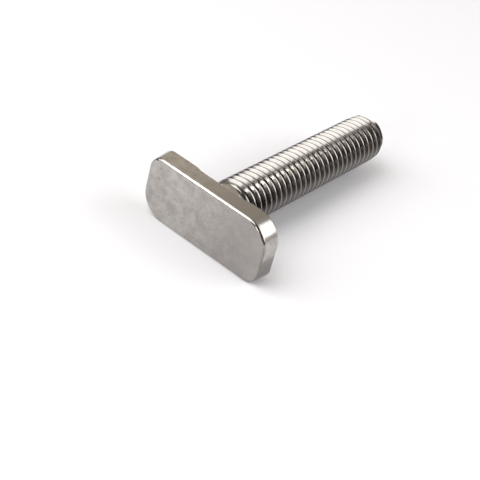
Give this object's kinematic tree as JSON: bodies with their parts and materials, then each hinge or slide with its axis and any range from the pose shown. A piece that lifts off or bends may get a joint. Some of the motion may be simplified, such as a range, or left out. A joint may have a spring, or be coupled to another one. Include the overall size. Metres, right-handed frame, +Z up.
{
  "type": "t slot bolt",
  "caption": "Stainless hammer-head bolt that drops into a T slot, turns a quarter and locks crosswise, with a metric threaded shank for a nut.",
  "frame": {"origin": "on the bolt's axis, in the plane of the head's two bearing lands", "axes": "+Y along the axis from the head to the tip, X along the head's length, +Z up across the head's width; the bolt lies with its long narrow head side down"},
  "size_m": [0.0228, 0.0429, 0.01],
  "materials": {
    "stainless_steel": "cold-formed and tumbled bright, fine mottling and small scratches"
  },
  "bodies": {
    "root": {"t_slot_bolt": "stainless_steel"}
  },
  "joints": []
}
